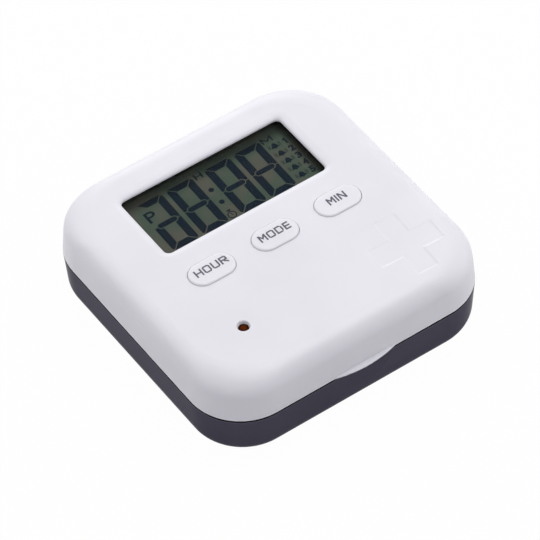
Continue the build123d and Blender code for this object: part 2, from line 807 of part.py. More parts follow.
# ---------------------------------------------------------------- coin cell
with BuildPart() as coin_cell:
    with BuildSketch(Plane.XY.offset(cell_bottom)):
        with Locations((cell_x, cell_y)):
            Circle(cell_radius)
    extrude(amount=cell_height - cell_step)
    fillet(coin_cell.faces().sort_by(Axis.Z)[0].edges(), cell_step)
    with BuildSketch(Plane.XY.offset(cell_top - cell_step)):
        with Locations((cell_x, cell_y)):
            Circle(cell_lid_radius)
    extrude(amount=cell_step)
save(coin_cell.part, "coin_cell")

with BuildPart() as cell_holder:
    with BuildSketch(Plane.XY.offset(holder_bottom)):
        with Locations((cell_x, cell_y)):
            Circle(holder_outer_radius)
            Circle(holder_inner_radius, mode=Mode.SUBTRACT)
        # Slot for the positive contact
        with Locations((cell_x + cell_radius, cell_y)):
            slot_width = contact_width + 2 * contact_slot_gap
            Rectangle(4 * holder_wall, slot_width, mode=Mode.SUBTRACT)
    extrude(amount=board_bottom - holder_bottom)
save(cell_holder.part, "cell_holder")

# Bent strip that presses on the cell's side
with BuildPart() as plus_contact:
    leg_x = cell_x + cell_radius + contact_gap
    leg_bottom = cell_bottom + cell_height / 3
    with BuildSketch(Plane.XZ.offset(-cell_y)):
        Polygon(
            (leg_x, leg_bottom),
            (leg_x + contact_thickness, leg_bottom),
            (leg_x + contact_thickness, board_bottom - contact_thickness),
            (leg_x + contact_foot, board_bottom - contact_thickness),
            (leg_x + contact_foot, board_bottom),
            (leg_x, board_bottom),
            align=None,
        )
    extrude(amount=contact_width / 2, both=True)
save(plus_contact.part, "plus_contact")

# Sprung leaf that presses on the cell's top
with BuildPart() as minus_contact:
    foot_x = cell_x - contact_arm
    tip_x = cell_x + contact_foot
    leaf_drop = cell_top + contact_thickness
    with BuildSketch(Plane.XZ.offset(-cell_y)):
        Polygon(
            (foot_x, board_bottom),
            (foot_x, board_bottom - contact_thickness),
            (foot_x + contact_foot, board_bottom - contact_thickness),
            (cell_x, cell_top),
            (tip_x, cell_top),
            (tip_x, leaf_drop),
            (cell_x, leaf_drop),
            (foot_x + contact_foot, board_bottom),
            align=None,
        )
    extrude(amount=contact_width / 2, both=True)
save(minus_contact.part, "minus_contact")

# ---------------------------------------------------------------- buzzer
piezo_bottom = cover_top + buzzer_air
with BuildPart() as buzzer_disc:
    with BuildSketch(Plane.XY.offset(piezo_bottom)):
        with Locations((buzzer_x, buzzer_y)):
            Circle(piezo_radius)
    extrude(amount=piezo_thickness)
save(buzzer_disc.part, "buzzer_disc")

with BuildPart() as buzzer_ceramic:
    with BuildSketch(Plane.XY.offset(piezo_bottom + piezo_thickness)):
        with Locations((buzzer_x, buzzer_y)):
            Circle(ceramic_radius)
    extrude(amount=piezo_thickness)
save(buzzer_ceramic.part, "buzzer_ceramic")

# One wire starts on the ceramic, the other on the brass beside it
with BuildPart() as buzzer_wires:
    brass_top = piezo_bottom + piezo_thickness
    ceramic_edge = buzzer_x + ceramic_radius
    starts = [
        (ceramic_edge - wire_inset, buzzer_y - wire_pitch / 2, brass_top + piezo_thickness),
        (ceramic_edge + wire_outset, buzzer_y + wire_pitch / 2, brass_top),
    ]
    for x, y, z in starts:
        turn_z = (z + board_bottom) / 2
        with BuildLine() as wire_path:
            FilletPolyline(
                (x, y, z),
                (x, y, turn_z),
                (x + wire_reach, y, turn_z),
                (x + wire_reach, y, board_bottom),
                radius=0.45 * (turn_z - z),
            )
        with BuildSketch(Plane((x, y, z))):
            Circle(wire_radius)
        sweep(path=wire_path.wire())
save(buzzer_wires.part, "buzzer_wires")
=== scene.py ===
# %% [markdown]
# # A pocket pill dispenser with an alarm clock
# The case, the buttons and all the works come ready made from the CAD model. This lesson gives them
# their finishes, prints the display and the button legends, and sets up the light and the camera.
# Lengths are in metres, and the model rests on z = 0 with its hinge towards +Y.

# %% Load the model
import math

import bpy
from mathutils import Matrix, Vector


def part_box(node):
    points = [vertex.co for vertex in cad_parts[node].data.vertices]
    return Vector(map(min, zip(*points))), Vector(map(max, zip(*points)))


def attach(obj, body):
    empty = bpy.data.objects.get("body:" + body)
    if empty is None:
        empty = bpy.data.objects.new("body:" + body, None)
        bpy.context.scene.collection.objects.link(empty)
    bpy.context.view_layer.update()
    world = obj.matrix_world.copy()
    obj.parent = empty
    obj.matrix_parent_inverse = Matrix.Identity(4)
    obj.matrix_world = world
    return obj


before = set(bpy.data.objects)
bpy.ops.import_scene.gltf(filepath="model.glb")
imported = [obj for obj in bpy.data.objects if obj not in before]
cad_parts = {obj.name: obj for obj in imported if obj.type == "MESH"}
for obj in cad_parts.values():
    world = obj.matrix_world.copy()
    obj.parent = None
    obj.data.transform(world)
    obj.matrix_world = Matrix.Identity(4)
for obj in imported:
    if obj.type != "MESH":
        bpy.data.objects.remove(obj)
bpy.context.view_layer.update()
bpy.ops.object.select_all(action="DESELECT")
mm = 0.001

# %% [markdown]
# ## Camera
# A long lens from far away keeps the square case nearly free of perspective. A camera could be aimed
# with a Track To constraint, but that can't roll it. Here it is placed by an azimuth, an elevation
# and a distance from a point in the middle of the case, and then rolled and shifted a little. A
# rotation matrix made of its right, up and back vectors holds all of its turns at once.

# %% Place the camera
azimuth, elevation, roll = (math.radians(a) for a in (-33.177, 48.993, -2.589))
# In mm: how far off it stands, and how far it slides across its own view
distance, off_right, off_down = 1030.401, 0.494, 0.924
image_width, focal_length = 540, 3994.569  # both in pixels
sensor_width = 36
aim = Vector((0, 0, 12 * mm))
back = Vector(
    (
        math.sin(azimuth) * math.cos(elevation),
        -math.cos(azimuth) * math.cos(elevation),
        math.sin(elevation),
    )
)
level_right = Vector((math.cos(azimuth), math.sin(azimuth), 0))
level_up = back.cross(level_right)
right = level_right * math.cos(roll) + level_up * math.sin(roll)
up = level_up * math.cos(roll) - level_right * math.sin(roll)
camera_place = aim + right * off_right * mm - up * off_down * mm + back * distance * mm

bpy.ops.object.camera_add(location=camera_place)
camera = bpy.context.object
camera.name = "product_camera"
turn = Matrix((right, up, back)).transposed()
camera.rotation_euler = turn.to_euler()
camera.data.sensor_width = sensor_width
camera.data.lens = sensor_width * focal_length / image_width
camera.data.clip_start = 0.1
camera.data.clip_end = 10
bpy.context.scene.camera = camera
print("camera at", [round(v, 3) for v in camera_place], "lens", round(camera.data.lens, 1))

# %% [markdown]
# ## Floor and light
# The dispenser stands on a plain white sweep. The floor is a grey-white diffuse sheet for the light
# that bounces off it, but rays that come straight from the camera, or by way of gloss and glass,
# meet a white that glows at strength 1. A little of the diffuse sheet is left in that mix, so that
# the shadow stays.

# %% Floor sheet
floor_side = 4
bpy.ops.mesh.primitive_plane_add(size=floor_side, location=(0, 0, 0))
floor = bpy.context.object
floor.name = "floor"
print("floor is", floor_side, "m wide")


# %% Floor finish
def node_material(name):
    """A material with an empty node tree and its output."""
    material = bpy.data.materials.new(name)
    material.use_nodes = True
    tree = material.node_tree
    tree.nodes.clear()
    output = tree.nodes.new("ShaderNodeOutputMaterial")
    return material, tree, output


glow_share = 0.98
white_paper, tree, output = node_material("white_paper")
sheet = tree.nodes.new("ShaderNodeBsdfDiffuse")
sheet.inputs["Color"].default_value = (0.8, 0.8, 0.81, 1)
glow = tree.nodes.new("ShaderNodeEmission")
glow.inputs["Color"].default_value = (1, 1, 1, 1)
glow.inputs["Strength"].default_value = 1.0
rays = tree.nodes.new("ShaderNodeLightPath")
seen = tree.nodes.new("ShaderNodeMath")
seen.operation = "MAXIMUM"
tree.links.new(rays.outputs["Is Camera Ray"], seen.inputs[0])
tree.links.new(rays.outputs["Is Glossy Ray"], seen.inputs[1])
seen_through = tree.nodes.new("ShaderNodeMath")
seen_through.operation = "MAXIMUM"
tree.links.new(seen.outputs[0], seen_through.inputs[0])
tree.links.new(rays.outputs["Is Transmission Ray"], seen_through.inputs[1])
share = tree.nodes.new("ShaderNodeMath")
share.operation = "MULTIPLY"
share.inputs[1].default_value = glow_share
tree.links.new(seen_through.outputs[0], share.inputs[0])
mix = tree.nodes.new("ShaderNodeMixShader")
tree.links.new(share.outputs[0], mix.inputs[0])
tree.links.new(sheet.outputs[0], mix.inputs[1])
tree.links.new(glow.outputs[0], mix.inputs[2])
tree.links.new(mix.outputs[0], output.inputs["Surface"])
floor.data.materials.append(white_paper)
print(white_paper.name, "has", len(tree.nodes), "nodes")

# %% [markdown]
# The world is a plain room. It lights the case with a faint, slightly purple light. A world that is
# bright enough to look white would flatten the shading, so only rays that come straight from the
# camera see it as white, like the floor.

# %% World
room_strength = 0.468
world = bpy.data.worlds.new("white_room")
bpy.context.scene.world = world
world.use_nodes = True
tree = world.node_tree
tree.nodes.clear()
output = tree.nodes.new("ShaderNodeOutputWorld")
rays = tree.nodes.new("ShaderNodeLightPath")
room = tree.nodes.new("ShaderNodeBackground")
room.inputs["Color"].default_value = (0.95, 0.94, 1.01, 1)
room.inputs["Strength"].default_value = room_strength
wall = tree.nodes.new("ShaderNodeBackground")
wall.inputs["Color"].default_value = (1, 1, 1, 1)
wall.inputs["Strength"].default_value = 1.0
mix = tree.nodes.new("ShaderNodeMixShader")
tree.links.new(rays.outputs["Is Camera Ray"], mix.inputs[0])
tree.links.new(room.outputs[0], mix.inputs[1])
tree.links.new(wall.outputs[0], mix.inputs[2])
tree.links.new(mix.outputs[0], output.inputs["Surface"])
print("room strength", room_strength)

# %% [markdown]
# Four soft boxes make the shading: one high on the right, one behind the case, one low on the right,
# which rounds off the right-hand corner, and one low behind the hinge, whose gloss picks out the
# front slopes of the sunken plus. They stand well clear of the direction that the window mirrors
# towards the camera, because a lamp in that place would wash the display out. The two walls that
# face the camera get nearly all of their light from the room and the floor.


# %% Lamps
def soft_lamp(name, turn, rise, distance, size, watts):
    """A square area lamp that points at the case. Its turn, from +X to +Y, and rise are in degrees."""
    turn, rise = math.radians(turn), math.radians(rise)
    away = Vector((math.cos(turn) * math.cos(rise), math.sin(turn) * math.cos(rise), math.sin(rise)))
    bpy.ops.object.light_add(type="AREA", location=aim + away * distance)
    lamp = bpy.context.object
    lamp.name = name
    lamp.data.shape = "SQUARE"
    lamp.data.size = size
    lamp.data.energy = watts
    lamp.rotation_euler = away.to_track_quat("Z", "Y").to_euler()
    return lamp


soft_lamp("high_lamp", 0, 70, 0.5, 0.3, 0.9)
soft_lamp("back_lamp", 122, 40, 0.5, 0.3, 0.53)
soft_lamp("low_lamp", 345, 20, 0.6, 0.3, 0.48)
soft_lamp("edge_lamp", 67, 18, 0.6, 0.25, 0.5)
bpy.context.scene.view_settings.view_transform = "Standard"

# %% [markdown]
# ## Moulded plastic
# Injection-moulded plastic isn't quite even: its colour drifts by a hair over a few centimetres, its
# gloss changes with it, and the spark-eroded mould leaves a very fine grain. One helper makes all of
# that from two noise textures on Object coordinates, and each plastic in the lesson is a call of it.
# Some plastics also get painted light or shade at a certain height: a painted highlight along an edge,
# or painted shade in a gap. A second material there would draw a hard border, so a colour ramp along Z
# scales the colour instead.


# %% Colour by height
def by_height(tree, place, colour, stops):
    """The colour times a factor that changes with height. A stop is a height in mm and a factor."""
    low, high = stops[0][0], stops[-1][0]
    most = max(factor for _, factor in stops)
    axes = tree.nodes.new("ShaderNodeSeparateXYZ")
    tree.links.new(place.outputs["Object"], axes.inputs[0])
    level = tree.nodes.new("ShaderNodeMapRange")
    level.inputs["From Min"].default_value = low * mm
    level.inputs["From Max"].default_value = high * mm
    tree.links.new(axes.outputs["Z"], level.inputs["Value"])
    ramp = tree.nodes.new("ShaderNodeValToRGB")
    while len(ramp.color_ramp.elements) < len(stops):
        ramp.color_ramp.elements.new(0.5)
    for element, (height, factor) in zip(ramp.color_ramp.elements, stops):
        element.position = (height - low) / (high - low)
        element.color = (factor / most,) * 3 + (1,)
    tree.links.new(level.outputs["Result"], ramp.inputs[0])
    scale = tree.nodes.new("ShaderNodeMath")
    scale.operation = "MULTIPLY"
    scale.inputs[1].default_value = most
    tree.links.new(ramp.outputs[0], scale.inputs[0])
    scaled = tree.nodes.new("ShaderNodeVectorMath")
    scaled.operation = "SCALE"
    tree.links.new(colour, scaled.inputs[0])
    tree.links.new(scale.outputs[0], scaled.inputs["Scale"])
    return scaled.outputs[0]


# %% Moulded plastic
cloud_scale, cloud_low, cloud_high = 45, 0.3, 0.7
gloss_drift, grain_depth = 0.03, 0.05


def plastic(name, colour, roughness, grain=0.02, grain_size=0.25, drift=0.02, stops=None, **sockets):
    """Moulded plastic: a colour that drifts slightly, and a grain of grain_size mm."""
    material, tree, output = node_material(name)
    shader = tree.nodes.new("ShaderNodeBsdfPrincipled")
    for socket, value in sockets.items():
        shader.inputs[socket.replace("_", " ")].default_value = value
    place = tree.nodes.new("ShaderNodeTexCoord")
    clouds = tree.nodes.new("ShaderNodeTexNoise")
    clouds.inputs["Scale"].default_value = cloud_scale
    clouds.inputs["Detail"].default_value = 2
    tree.links.new(place.outputs["Object"], clouds.inputs["Vector"])
    tint = tree.nodes.new("ShaderNodeMapRange")
    tint.data_type = "FLOAT_VECTOR"
    # Sockets 6 to 10 are the vector forms of Value, From Min, From Max, To Min and To Max
    tint.inputs[7].default_value = (cloud_low,) * 3
    tint.inputs[8].default_value = (cloud_high,) * 3
    tint.inputs[9].default_value = [c * (1 - drift) for c in colour]
    tint.inputs[10].default_value = [c * (1 + drift) for c in colour]
    tree.links.new(clouds.outputs["Fac"], tint.inputs[6])
    shade = by_height(tree, place, tint.outputs[1], stops) if stops else tint.outputs[1]
    tree.links.new(shade, shader.inputs["Base Color"])
    gloss = tree.nodes.new("ShaderNodeMapRange")
    gloss.inputs["To Min"].default_value = roughness - gloss_drift
    gloss.inputs["To Max"].default_value = roughness + gloss_drift
    tree.links.new(clouds.outputs["Fac"], gloss.inputs["Value"])
    tree.links.new(gloss.outputs["Result"], shader.inputs["Roughness"])
    if grain:
        sparks = tree.nodes.new("ShaderNodeTexNoise")
        sparks.inputs["Scale"].default_value = 1000 / grain_size
        sparks.inputs["Detail"].default_value = 1
        tree.links.new(place.outputs["Object"], sparks.inputs["Vector"])
        bump = tree.nodes.new("ShaderNodeBump")
        bump.inputs["Strength"].default_value = grain
        bump.inputs["Distance"].default_value = grain_depth * mm
        tree.links.new(sparks.outputs["Fac"], bump.inputs["Height"])
        tree.links.new(bump.outputs["Normal"], shader.inputs["Normal"])
    tree.links.new(shader.outputs[0], output.inputs["Surface"])
    return material


# %% Dress the pieces of the CAD model
def dress(material, *nodes):
    """Gives a material to CAD nodes, in each of their slots."""
    for name in nodes:
        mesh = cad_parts[name].data
        mesh.materials.clear()
        mesh.materials.append(material)
    print(material.name, "on", ", ".join(nodes))


# %% [markdown]
# The lid, the buttons and the cover are a cool white with a satin face, and a little light goes in
# under it. The base is a smoke grey and shinier than the lid. The two halves meet at a narrow gap.
# The lid's lower edge gets a painted highlight, a shade lighter than its walls. The base gets a
# painted highlight along its upper edge, and painted shade makes its flat face inside the gap nearly
# black. Above that face, the hinge is grey again.

# %% Case plastics
milky = {"Subsurface_Weight": 0.6, "Subsurface_Radius": (1, 1, 1), "Subsurface_Scale": 0.7 * mm}
lid_edge, base_edge = 14.5, 13.9  # heights of the two faces of the gap, in mm
# Painted highlight: the band just above the lid's lower edge is made 1.15 times lighter
lid_edge_highlight = [(lid_edge - 0.1, 1.15), (lid_edge + 0.2, 1.15), (lid_edge + 0.35, 1)]
cool_white = (0.84, 0.835, 0.865)
lid_white = plastic("lid_white", cool_white, 0.42, grain=0.06, stops=lid_edge_highlight, **milky)
button_white = plastic("button_white", (0.85, 0.845, 0.87), 0.34, grain=0.04, **milky)
# Each stop is a height above the base's face of the gap, in mm, and a factor: a painted highlight
# along the upper edge, then painted shade on the face inside the gap
rim_highlight_and_shade = ((-0.35, 1), (-0.25, 1.45), (-0.02, 1.45), (-0.01, 0.15), (0.04, 0.15), (0.05, 1))
base_highlight_and_shade = [(base_edge + step, factor) for step, factor in rim_highlight_and_shade]
smoke_grey = (0.084, 0.079, 0.106)
smoke = plastic("smoke_tint", smoke_grey, 0.23, 0.03, drift=0.06, stops=base_highlight_and_shade, IOR=1.04)
dress(lid_white, "lid_shell", "inner_cover", "cell_door")
dress(button_white, "hour_button", "mode_button", "min_button")
dress(smoke, "base_shell")

# %% [markdown]
# Behind the window, the display's frame is a plain white moulding and the case of each switch is
# black. These show only when the case is taken apart, but each still gets its own finish, because a
# part that is reused may be opened. The printed board's green is a lacquer, the buzzer's disc has a
# ceramic layer, and its wires have a red sleeve. The same helper does for all of them.

# %% Plastics inside
frame_white = plastic("frame_white", (0.75, 0.75, 0.74), 0.5)
switch_black = plastic("switch_black", (0.02, 0.02, 0.022), 0.45)
resin_black = plastic("resin_black", (0.012, 0.012, 0.014), 0.3, grain=0.2, grain_size=1.5)
strip_rubber = plastic("strip_rubber", (0.05, 0.05, 0.055), 0.8, grain=0.2)
wire_red = plastic("wire_red", (0.45, 0.02, 0.02), 0.4)
ceramic_white = plastic("ceramic_white", (0.72, 0.7, 0.66), 0.6, grain=0.1)
mask_green = (0.015, 0.13, 0.05)
board_green = plastic("board_green", mask_green, 0.35, grain=0.15, grain_size=0.6, drift=0.15)
film_grey = plastic("film_grey", (0.45, 0.47, 0.42), 0.35)
dress(frame_white, "lcd_frame")
dress(switch_black, "hour_switch", "mode_switch", "min_switch", "cell_holder")
dress(switch_black, "hour_plunger", "mode_plunger", "min_plunger")
dress(resin_black, "clock_chip")
dress(strip_rubber, "zebra_strip")
dress(wire_red, "buzzer_wires")
dress(ceramic_white, "buzzer_ceramic")
dress(board_green, "circuit_board")
dress(film_grey, "lcd_reflector")

# %% [markdown]
# ## Metals
# The screws, the pin and the coin cell are turned or stamped steel, and the contacts are plated.
# Fine lines are left where metal is brushed or drawn. An anisotropic shader could suggest them, but a
# noise that is stretched along one axis draws them as lines in the gloss and the bump.

# %% A helper for metals
line_fineness, line_length = 4000, 150
line_gloss, line_depth = 0.08, 0.02


def metal(name, colour, roughness, line_axis=0):
    """Metal with fine lines along one axis (0 is X, 1 is Y, 2 is Z)."""
    material, tree, output = node_material(name)
    shader = tree.nodes.new("ShaderNodeBsdfPrincipled")
    shader.inputs["Base Color"].default_value = (*colour, 1)
    shader.inputs["Metallic"].default_value = 1
    place = tree.nodes.new("ShaderNodeTexCoord")
    stretch = tree.nodes.new("ShaderNodeMapping")
    scale = [line_fineness] * 3
    scale[line_axis] = line_length
    stretch.inputs["Scale"].default_value = scale
    tree.links.new(place.outputs["Object"], stretch.inputs["Vector"])
    lines = tree.nodes.new("ShaderNodeTexNoise")
    lines.inputs["Scale"].default_value = 1
    lines.inputs["Detail"].default_value = 3
    tree.links.new(stretch.outputs[0], lines.inputs["Vector"])
    gloss = tree.nodes.new("ShaderNodeMapRange")
    gloss.inputs["To Min"].default_value = roughness - line_gloss
    gloss.inputs["To Max"].default_value = roughness + line_gloss
    tree.links.new(lines.outputs["Fac"], gloss.inputs["Value"])
    tree.links.new(gloss.outputs["Result"], shader.inputs["Roughness"])
    bump = tree.nodes.new("ShaderNodeBump")
    bump.inputs["Strength"].default_value = 0.05
    bump.inputs["Distance"].default_value = line_depth * mm
    tree.links.new(lines.outputs["Fac"], bump.inputs["Height"])
    tree.links.new(bump.outputs["Normal"], shader.inputs["Normal"])
    tree.links.new(shader.outputs[0], output.inputs["Surface"])
    return material


# %% Metal pieces
dress(metal("pin_steel", (0.6, 0.6, 0.61), 0.3), "hinge_pin", "led_leads")
dress(metal("screw_steel", (0.55, 0.55, 0.57), 0.35, 2), "case_screws", "board_screws")
dress(metal("can_steel", (0.66, 0.66, 0.66), 0.28), "coin_cell")
dress(metal("crystal_can", (0.7, 0.7, 0.7), 0.22, 1), "quartz_crystal")
dress(metal("contact_plate", (0.66, 0.62, 0.5), 0.3), "plus_contact", "minus_contact")
dress(metal("disc_brass", (0.62, 0.44, 0.17), 0.32), "buzzer_disc")

# %% [markdown]
# ## Window and light
# The window is a clear sheet with a polished face. A Glass shader would bend the light twice and make
# the display noisy. This sheet lets nearly everything through, so a transparent shader is mixed with
# a thin clear gloss by the Fresnel effect, which makes it shinier at a low angle.

# %% Window
window_clear, tree, output = node_material("window_clear")
clear = tree.nodes.new("ShaderNodeBsdfTransparent")
clear.inputs["Color"].default_value = (0.97, 0.98, 0.975, 1)
gloss = tree.nodes.new("ShaderNodeBsdfGlossy")
gloss.inputs["Roughness"].default_value = 0.04
edge = tree.nodes.new("ShaderNodeFresnel")
edge.inputs["IOR"].default_value = 1.15
mix = tree.nodes.new("ShaderNodeMixShader")
tree.links.new(edge.outputs[0], mix.inputs[0])
tree.links.new(clear.outputs[0], mix.inputs[1])
tree.links.new(gloss.outputs[0], mix.inputs[2])
tree.links.new(mix.outputs[0], output.inputs["Surface"])
dress(window_clear, "display_lens")

# %% [markdown]
# The alarm light is a dome of dark amber resin. Light and shade are painted on it: a painted highlight
# makes it lightest at its top, and painted shade makes its rim, deep in its hole, nearly black. The
# ramp by height makes that change.

# %% Alarm light
dome_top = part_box("alarm_led")[1].z / mm
# Painted shade at the dome's rim and a painted highlight at its top
dome_light_and_shade = [(dome_top - 0.33, 0.12), (dome_top - 0.18, 0.6), (dome_top, 1.5)]
dark_amber = (0.079, 0.015, 0.002)
amber = plastic("amber_resin", dark_amber, 0.2, grain=0, drift=0.2, stops=dome_light_and_shade, IOR=1.08)
dress(amber, "alarm_led")

# %% [markdown]
# ## Display
# A liquid crystal display looks like grey-green paper behind glass. Towards the back and the right
# both the paper and its print fall off into the shade of the case. A ramp along X and one along Y,
# read from Object coordinates, make that shade, and their product scales the colour.

# %% Shade at the display's edges
ink_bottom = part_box("lcd_panel")[1].z
ink_height = 0.03 * mm
# An axis, where the shade is full and where it ends, in mm, and the colour's share in full shade
shade_ramps = (("X", 24.75, 22.1, 0.15), ("Y", 29.9, 24.8, 0.26))
print("display face at z =", round(ink_bottom / mm, 2), "mm")


def in_the_shade(tree, place, colour):
    """The colour, darkened towards the display's back and right edges. Returns its socket."""
    axes = tree.nodes.new("ShaderNodeSeparateXYZ")
    tree.links.new(place.outputs["Object"], axes.inputs[0])
    product = tree.nodes.new("ShaderNodeMath")
    product.operation = "MULTIPLY"
    for socket, (axis, full, clear, least) in enumerate(shade_ramps):
        side = tree.nodes.new("ShaderNodeMapRange")
        side.interpolation_type = "SMOOTHSTEP"
        side.inputs["From Min"].default_value = full * mm
        side.inputs["From Max"].default_value = clear * mm
        side.inputs["To Min"].default_value = least
        tree.links.new(axes.outputs[axis], side.inputs["Value"])
        tree.links.new(side.outputs["Result"], product.inputs[socket])
    darken = tree.nodes.new("ShaderNodeVectorMath")
    darken.operation = "SCALE"
    tree.links.new(colour, darken.inputs[0])
    tree.links.new(product.outputs[0], darken.inputs["Scale"])
    return darken.outputs[0]


# %% [markdown]
# The ground isn't one colour: between the segments it picks up a faint green or a faint brown, and
# a noise texture mixes the two. The ink is a blue black with a little drift, and a paler ink is for
# the small waves. One helper makes all three.

# %% Display ground and inks
patch_scale, greener_end, browner_end = 130, 0.4, 0.62


def display_finish(name, greener, browner):
    """A dull finish whose colour wanders between two values, and which darkens in the shade."""
    material, tree, output = node_material(name)
    shader = tree.nodes.new("ShaderNodeBsdfPrincipled")
    shader.inputs["Roughness"].default_value = 0.5
    shader.inputs["IOR"].default_value = 1.1
    place = tree.nodes.new("ShaderNodeTexCoord")
    patches = tree.nodes.new("ShaderNodeTexNoise")
    patches.inputs["Scale"].default_value = patch_scale
    patches.inputs["Detail"].default_value = 1
    tree.links.new(place.outputs["Object"], patches.inputs["Vector"])
    ramp = tree.nodes.new("ShaderNodeValToRGB")
    ramp.color_ramp.elements[0].position = greener_end
    ramp.color_ramp.elements[0].color = (*greener, 1)
    ramp.color_ramp.elements[1].position = browner_end
    ramp.color_ramp.elements[1].color = (*browner, 1)
    tree.links.new(patches.outputs["Fac"], ramp.inputs[0])
    tree.links.new(in_the_shade(tree, place, ramp.outputs[0]), shader.inputs["Base Color"])
    tree.links.new(shader.outputs[0], output.inputs["Surface"])
    return material


lcd_ground = display_finish("lcd_ground", (0.087, 0.118, 0.088), (0.125, 0.124, 0.098))
segment_ink = display_finish("segment_ink", (0.009, 0.019, 0.031), (0.013, 0.021, 0.032))
faint_ink = display_finish("faint_ink", (0.028, 0.04, 0.036), (0.036, 0.044, 0.04))
dress(lcd_ground, "lcd_panel")

# %% [markdown]
# ### Flat pieces
# Everything on the display is a thin, flat shape with straight or round sides. It could be an image
# on the display's face, but shapes stay sharp at any size and can be told apart by name. A straight
# shape starts as a cube, stretched to its length and width and as thin as a film of ink, and bisect
# planes then cut its ends. A round one starts as a short cylinder. An operator acts on all that is
# selected, so the first helper selects just the pieces that it is given.


# %% Select and finish
def select_only(*pieces):
    """Selects these pieces and no others, and makes the first one active."""
    bpy.ops.object.select_all(action="DESELECT")
    for piece in pieces:
        piece.select_set(True)
    bpy.context.view_layer.objects.active = pieces[0]


def finish_piece(piece, name, material, body):
    """Names a piece, applies its place, gives it a material and lets it ride on a body."""
    select_only(piece)
    bpy.ops.object.transform_apply(location=True, rotation=True, scale=True)
    piece.name = name
    piece.data.name = name
    piece.data.materials.clear()
    piece.data.materials.append(material)
    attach(piece, body)
    return piece


# %% Bars and discs
def trim(piece, cuts):
    """Cuts off what lies past each point, in mm, in the direction given with it. Caps the cuts."""
    select_only(piece)
    bpy.ops.object.mode_set(mode="EDIT")
    for point, away in cuts:
        bpy.ops.mesh.select_all(action="SELECT")
        place = (point[0] * mm, point[1] * mm, 0)
        bpy.ops.mesh.bisect(plane_co=place, plane_no=(*away, 0), clear_outer=True, use_fill=True)
    bpy.ops.object.mode_set(mode="OBJECT")
    return piece


def bar(low_x, low_y, high_x, high_y, cuts=(), bottom=ink_bottom, height=ink_height):
    """A thin bar, its sides in mm. Each cut is a point and the direction of what it removes."""
    centre = ((low_x + high_x) / 2 * mm, (low_y + high_y) / 2 * mm, bottom + height / 2)
    bpy.ops.mesh.primitive_cube_add(size=1, location=centre)
    piece = bpy.context.object
    piece.scale = ((high_x - low_x) * mm, (high_y - low_y) * mm, height)
    bpy.ops.object.transform_apply(location=True, rotation=True, scale=True)
    return trim(piece, cuts)


def disc(x, y, radius, bottom=ink_bottom, height=ink_height, sides=24):
    """A thin disc, its place and radius in mm. No corner of it points straight up or down."""
    bpy.ops.mesh.primitive_cylinder_add(
        vertices=sides,
        radius=radius * mm,
        depth=height,
        location=(x * mm, y * mm, bottom + height / 2),
        rotation=(0, 0, math.pi / sides),
    )
    bpy.ops.object.transform_apply(location=True, rotation=True, scale=True)
    return bpy.context.object


def stadium(x, y, half_length, half_height, height=ink_height):
    """A bar with round ends: a disc whose two halves are moved apart."""
    piece = disc(x, y, half_height, height=height)
    for vertex in piece.data.vertices:
        side = 1 if vertex.co.x > x * mm else -1
        vertex.co.x += side * (half_length - half_height) * mm
    return piece


# %% [markdown]
# Shapes are put together in two ways. Join only gathers meshes in one object, which is right for
# pieces that lie apart. Where they overlap, a Boolean modifier can merge them into one outline. The
# same modifier cuts one shape out of another.


# %% Merge, cut and join
def combine(piece, other, operation):
    """Applies a Boolean modifier between two pieces, and deletes the second one."""
    select_only(piece)
    bpy.ops.object.modifier_add(type="BOOLEAN")
    piece.modifiers[-1].operation = operation
    piece.modifiers[-1].object = other
    bpy.ops.object.modifier_apply(modifier=piece.modifiers[-1].name)
    bpy.data.objects.remove(other)
    return piece


def take_away(piece, cutter):
    """Cuts one piece's shape out of another."""
    return combine(piece, cutter, "DIFFERENCE")


def join(pieces):
    """Gathers the meshes of several pieces in the first one."""
    select_only(*pieces)
    bpy.ops.object.join()
    return pieces[0]


def unite(piece, others):
    """Adds pieces to the first one, each with a Boolean union."""
    for other in others:
        combine(piece, other, "UNION")
    return piece


# %% [markdown]
# ### A seven-segment digit
# A full digit is modelled once, round x = 0, and then copied. Its bars and posts meet in mitres with
# a hairline of ground between them, the posts are cut back round the middle segment, and the whole
# digit leans a little to the right, as digits on such displays do.

# %% One digit, centred on x = 0
digit_low, digit_high = 9.95, 28.3
waist = 19.07
half_width, post_width = 4.0, 2.2
bar_height, bar_half = 1.95, 3.45
middle_half, middle_thick = 2.89, 0.8
hairline, diagonal = 0.28, 1.41
corner_cut = 0.85
lean = 0.02
cutter_height = 4 * ink_height


def crossbar(side):
    """The top bar (side 1) or the bottom bar (side -1), mitred at both ends."""
    outer = digit_high if side > 0 else digit_low
    low_y, high_y = sorted((outer, outer - side * bar_height))
    mitres = [((end * bar_half, outer), (end, -side)) for end in (-1, 1)]
    return bar(-bar_half, low_y, bar_half, high_y, mitres)


def post(side, level):
    """An upright segment, on the left or right (side) and above or below the waist (level)."""
    low_x, high_x = sorted((side * half_width, side * (half_width - post_width)))
    end = digit_high if level > 0 else digit_low
    low_y, high_y = sorted((end, waist + level * hairline / 2))
    mitre = ((side * (bar_half + hairline * diagonal), end), (-side, level))
    blunt = ((side * half_width, end - level * corner_cut), (side, level))
    piece = bar(low_x, low_y, high_x, high_y, [mitre, blunt])
    room = stadium(0, waist, middle_half + hairline, middle_thick + hairline, height=cutter_height)
    return take_away(piece, room)


def seven_segments(missing=()):
    """The segments of one digit as one leaning piece."""
    places = [(side, level) for side in (-1, 1) for level in (-1, 1)]
    level_bars = [crossbar(1), crossbar(-1), stadium(0, waist, middle_half, middle_thick)]
    uprights = [post(*place) for place in places if place not in missing]
    whole = join(level_bars + uprights)
    for vertex in whole.data.vertices:
        vertex.co.x += (vertex.co.y - waist * mm) * lean
    return whole


